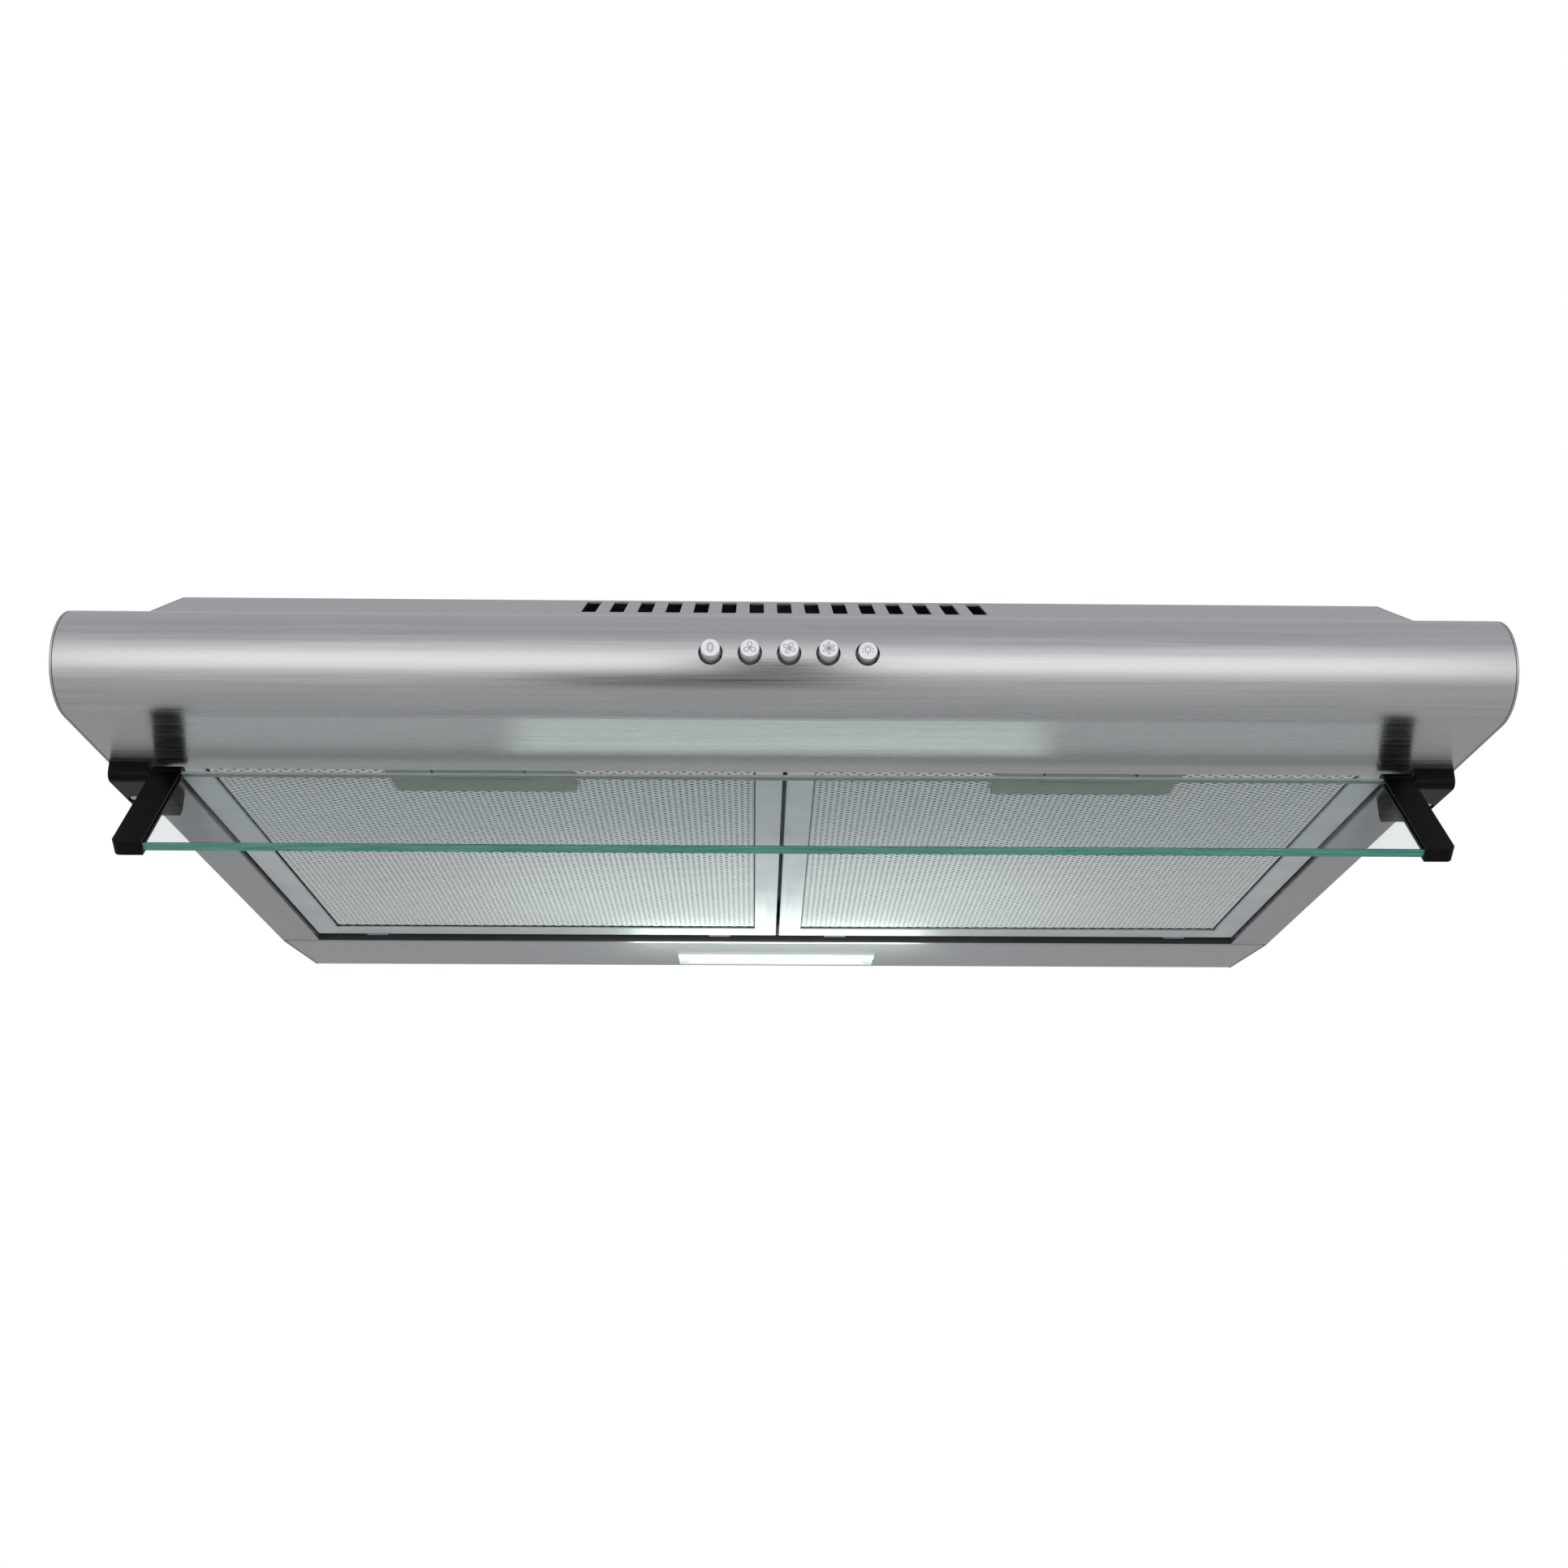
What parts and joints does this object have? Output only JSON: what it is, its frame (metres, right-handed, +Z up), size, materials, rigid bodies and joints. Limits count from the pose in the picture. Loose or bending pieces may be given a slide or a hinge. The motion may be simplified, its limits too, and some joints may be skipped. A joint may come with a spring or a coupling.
{
  "type": "under cabinet range hood",
  "caption": "Slim under-cabinet visor range hood with push buttons, two mesh grease filters, an LED lamp, a tilting glass visor and a blower under a round duct collar.",
  "frame": {"origin": "middle of the four cabinet screw holes, on the top face", "axes": "+X right seen from the front, +Y from front to back, +Z up"},
  "size_m": [0.598, 0.4616, 0.19],
  "materials": {
    "painted_casing": "satin",
    "brushed_steel": "brushed",
    "zinc_plate": "satin",
    "screw_steel": "satin",
    "opal_plastic": "gloss",
    "white_plastic": "matte",
    "circuit_board": "matte",
    "grey_plastic": "matte",
    "motor_steel": "satin",
    "brass": "satin",
    "capacitor_case": "matte",
    "black_plastic": "matte",
    "satin_chrome": "satin",
    "black_rubber": "matte",
    "clear_glass": "gloss",
    "filter_frame_aluminium": "satin",
    "filter_mesh_aluminium": "bright",
    "handle_grey": "satin"
  },
  "bodies": {
    "hood": {"top_panel": "painted_casing", "back_panel": "painted_casing", "side_panel_left": "painted_casing", "side_panel_right": "painted_casing", "front_panel": "brushed_steel", "lamp_panel": "painted_casing", "filter_rail": "zinc_plate", "back_screws": "screw_steel", "lamp_lens": "opal_plastic", "lamp_housing": "white_plastic", "led_board": "circuit_board", "led_driver": "white_plastic", "blower_housing": "grey_plastic", "blower_cover": "grey_plastic", "outlet_box": "grey_plastic", "inlet_guard": "zinc_plate", "blower_hangers": "zinc_plate", "motor_body": "motor_steel", "motor_screws": "screw_steel", "capacitor": "capacitor_case", "duct_collar": "grey_plastic", "damper_pin": "screw_steel", "switch_block": "black_plastic", "switch_bracket": "zinc_plate", "terminal_box": "black_plastic", "terminal_cover": "black_plastic", "cable_grommet": "black_rubber", "visor_bracket_left": "black_plastic", "visor_bracket_right": "black_plastic", "visor_pin_left": "screw_steel", "visor_pin_right": "screw_steel", "visor_screws": "screw_steel"},
    "visor": {"visor_glass": "clear_glass", "visor_arm_left": "black_plastic", "visor_arm_right": "black_plastic"},
    "filter_left": {"filter_left_frame": "filter_frame_aluminium", "filter_left_mesh": "filter_mesh_aluminium", "filter_left_handle": "handle_grey", "filter_left_spring": "screw_steel"},
    "latch_left": {"filter_left_latch": "handle_grey"},
    "filter_right": {"filter_right_frame": "filter_frame_aluminium", "filter_right_mesh": "filter_mesh_aluminium", "filter_right_handle": "handle_grey", "filter_right_spring": "screw_steel"},
    "latch_right": {"filter_right_latch": "handle_grey"},
    "rotor": {"motor_shaft": "screw_steel", "impeller": "grey_plastic", "impeller_nut": "brass"},
    "flap_left": {"damper_flap_left": "grey_plastic"},
    "flap_right": {"damper_flap_right": "grey_plastic"},
    "button_off": {"button_off": "satin_chrome"},
    "button_speed_1": {"button_speed_1": "satin_chrome"},
    "button_speed_2": {"button_speed_2": "satin_chrome"},
    "button_speed_3": {"button_speed_3": "satin_chrome"},
    "button_light": {"button_light": "satin_chrome"}
  },
  "joints": [
    {"name": "visor_hinge", "type": "hinge", "parent": "hood", "child": "visor", "pos_m": [0, -0.212, -0.117], "axis": [1, 0, 0], "range_deg": [-51.9, 20]},
    {"name": "filter_left_swing", "type": "hinge", "parent": "hood", "child": "filter_left", "pos_m": [-0.138, 0.0788, -0.1065], "axis": [1, 0, 0], "range_deg": [0, 60]},
    {"name": "filter_left_latch", "type": "slide", "parent": "filter_left", "child": "latch_left", "axis": [0, 1, 0], "range_m": [0, 0.0055], "stiffness_N_per_m": 600, "springref_m": -0.002, "deforming": ["filter_left_spring"]},
    {"name": "filter_right_swing", "type": "hinge", "parent": "hood", "child": "filter_right", "pos_m": [0.138, 0.0788, -0.1065], "axis": [1, 0, 0], "range_deg": [0, 60]},
    {"name": "filter_right_latch", "type": "slide", "parent": "filter_right", "child": "latch_right", "axis": [0, 1, 0], "range_m": [0, 0.0055], "stiffness_N_per_m": 600, "springref_m": -0.002, "deforming": ["filter_right_spring"]},
    {"name": "press_off", "type": "slide", "parent": "hood", "child": "button_off", "axis": [0, 1, 0], "range_m": [0, 0.004], "stiffness_N_per_m": 500, "springref_m": -0.002},
    {"name": "press_speed_1", "type": "slide", "parent": "hood", "child": "button_speed_1", "axis": [0, 1, 0], "range_m": [0, 0.004], "stiffness_N_per_m": 500, "springref_m": -0.002},
    {"name": "press_speed_2", "type": "slide", "parent": "hood", "child": "button_speed_2", "axis": [0, 1, 0], "range_m": [0, 0.004], "stiffness_N_per_m": 500, "springref_m": -0.002},
    {"name": "press_speed_3", "type": "slide", "parent": "hood", "child": "button_speed_3", "axis": [0, 1, 0], "range_m": [0, 0.004], "stiffness_N_per_m": 500, "springref_m": -0.002},
    {"name": "press_light", "type": "slide", "parent": "hood", "child": "button_light", "axis": [0, 1, 0], "range_m": [-0.002, 0.0015], "stiffness_N_per_m": 500},
    {"name": "fan_spin", "type": "hinge", "parent": "hood", "child": "rotor", "pos_m": [-0.15, -0.055, -0.052], "axis": [0, 0, 1], "continuous": true},
    {"name": "damper_left", "type": "hinge", "parent": "hood", "child": "flap_left", "pos_m": [0, 0.056, 0.006], "axis": [0, 1, 0], "range_deg": [0, 70]},
    {"name": "damper_right", "type": "hinge", "parent": "hood", "child": "flap_right", "pos_m": [0, 0.056, 0.006], "axis": [0, -1, 0], "range_deg": [0, 70]}
  ]
}
